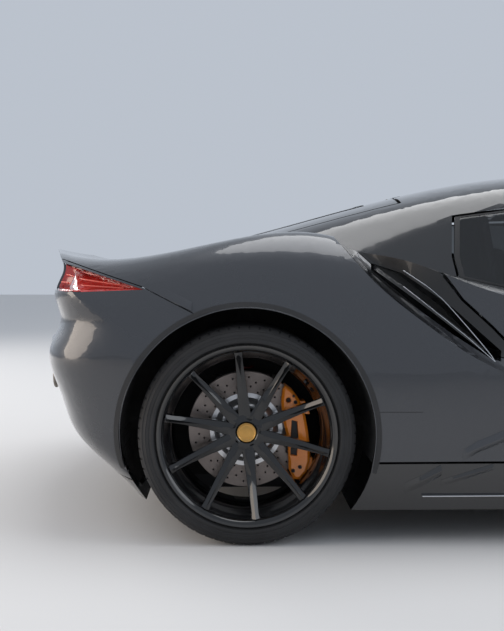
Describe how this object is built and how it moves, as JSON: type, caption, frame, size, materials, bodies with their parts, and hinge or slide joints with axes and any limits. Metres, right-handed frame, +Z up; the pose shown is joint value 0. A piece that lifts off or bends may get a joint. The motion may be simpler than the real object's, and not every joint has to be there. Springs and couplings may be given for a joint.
{
  "type": "supercar coupe",
  "caption": "Low two-seat mid-engined coupe with wide rear haunches, side air intakes, hinged doors, bonnet and engine lid, steered front wheels and free-turning wheels.",
  "frame": {"origin": "on the floor, under the middle of the car's length and width", "axes": "+X to the nose, +Y to the car's left, +Z up"},
  "size_m": [4.4161, 2.17, 1.2179],
  "materials": {
    "paint": "dark grey metallic paint under gloss lacquer",
    "gloss_black": "gloss black",
    "black_trim": "grained black plastic",
    "undertray": "pressed black composite",
    "liner_felt": "black fibre wheelhouse liner",
    "carbon": "lacquered carbon fibre weave",
    "grille": "satin black",
    "glass": "tinted glass",
    "headlamp": "clear lamp cover",
    "tail_lamp": "red lamp lens",
    "exhaust": "brushed, darkened by heat",
    "tub": "carbon fibre tub",
    "engine": "cast aluminium",
    "seat_leather": "black leather",
    "dash_leather": "black leather",
    "wheel_leather": "black leather",
    "suspension": "forged aluminium, dulled",
    "wheel_rim": "gloss black",
    "tyre": "black rubber"
  },
  "bodies": {
    "chassis": {"floor": "undertray", "sills": "paint", "arch_liners": "liner_felt", "front_bumper": "paint", "wings": "paint", "headlamps": "headlamp", "front_grilles": "grille", "splitter": "carbon", "cowl": "black_trim", "roof": "paint", "windscreen": "glass", "quarters": "paint", "rear_deck": "paint", "side_intakes": "gloss_black", "rear_bumper": "paint", "tail_lamps": "tail_lamp", "rear_grille": "grille", "exhaust_tips": "exhaust", "diffuser": "carbon", "tub": "tub", "engine": "engine", "seats": "seat_leather", "dashboard": "dash_leather", "steering_wheel": "wheel_leather", "front_suspension": "suspension", "rear_suspension": "suspension"},
    "bonnet": {"bonnet": "paint"},
    "engine_lid": {"engine_lid": "paint", "engine_lid_glass": "glass"},
    "door_left": {"door_left": "paint", "door_glass_left": "glass", "mirror_left": "gloss_black"},
    "front_knuckle_left": {"knuckle_left": "suspension"},
    "front_wheel_left": {"wheel_front_left": "wheel_rim", "tyre_front_left": "tyre"},
    "rear_wheel_left": {"wheel_rear_left": "wheel_rim", "tyre_rear_left": "tyre"},
    "door_right": {"door_right": "paint", "door_glass_right": "glass", "mirror_right": "gloss_black"},
    "front_knuckle_right": {"knuckle_right": "suspension"},
    "front_wheel_right": {"wheel_front_right": "wheel_rim", "tyre_front_right": "tyre"},
    "rear_wheel_right": {"wheel_rear_right": "wheel_rim", "tyre_rear_right": "tyre"}
  },
  "joints": [
    {"name": "bonnet_hinge", "type": "hinge", "parent": "chassis", "child": "bonnet", "pos_m": [1.003, 0, 0.766], "axis": [0, -1, 0], "range_deg": [0, 50]},
    {"name": "engine_lid_hinge", "type": "hinge", "parent": "chassis", "child": "engine_lid", "pos_m": [-0.871, 0, 1.119], "axis": [0, 1, 0], "range_deg": [0, 50]},
    {"name": "door_left_hinge", "type": "hinge", "parent": "chassis", "child": "door_left", "pos_m": [0.704, 0.918, 0.49], "axis": [0, 0, -1], "range_deg": [0, 62]},
    {"name": "steer_left", "type": "hinge", "parent": "chassis", "child": "front_knuckle_left", "pos_m": [1.185, 0.7525, 0.34], "axis": [0, 0, 1], "range_deg": [-32, 32]},
    {"name": "front_wheel_left_spin", "type": "hinge", "parent": "front_knuckle_left", "child": "front_wheel_left", "pos_m": [1.185, 0.8085, 0.34], "axis": [0, 1, 0], "continuous": true},
    {"name": "rear_wheel_left_spin", "type": "hinge", "parent": "chassis", "child": "rear_wheel_left", "pos_m": [-1.445, 0.7995, 0.343], "axis": [0, 1, 0], "continuous": true},
    {"name": "door_right_hinge", "type": "hinge", "parent": "chassis", "child": "door_right", "pos_m": [0.704, -0.918, 0.49], "axis": [0, 0, 1], "range_deg": [0, 62]},
    {"name": "steer_right", "type": "hinge", "parent": "chassis", "child": "front_knuckle_right", "pos_m": [1.185, -0.7525, 0.34], "axis": [0, 0, 1], "range_deg": [-32, 32]},
    {"name": "front_wheel_right_spin", "type": "hinge", "parent": "front_knuckle_right", "child": "front_wheel_right", "pos_m": [1.185, -0.8085, 0.34], "axis": [0, 1, 0], "continuous": true},
    {"name": "rear_wheel_right_spin", "type": "hinge", "parent": "chassis", "child": "rear_wheel_right", "pos_m": [-1.445, -0.7995, 0.343], "axis": [0, 1, 0], "continuous": true}
  ],
  "couplings": [
    {"joint": "steer_right", "follows": "steer_left", "ratio": 1}
  ]
}
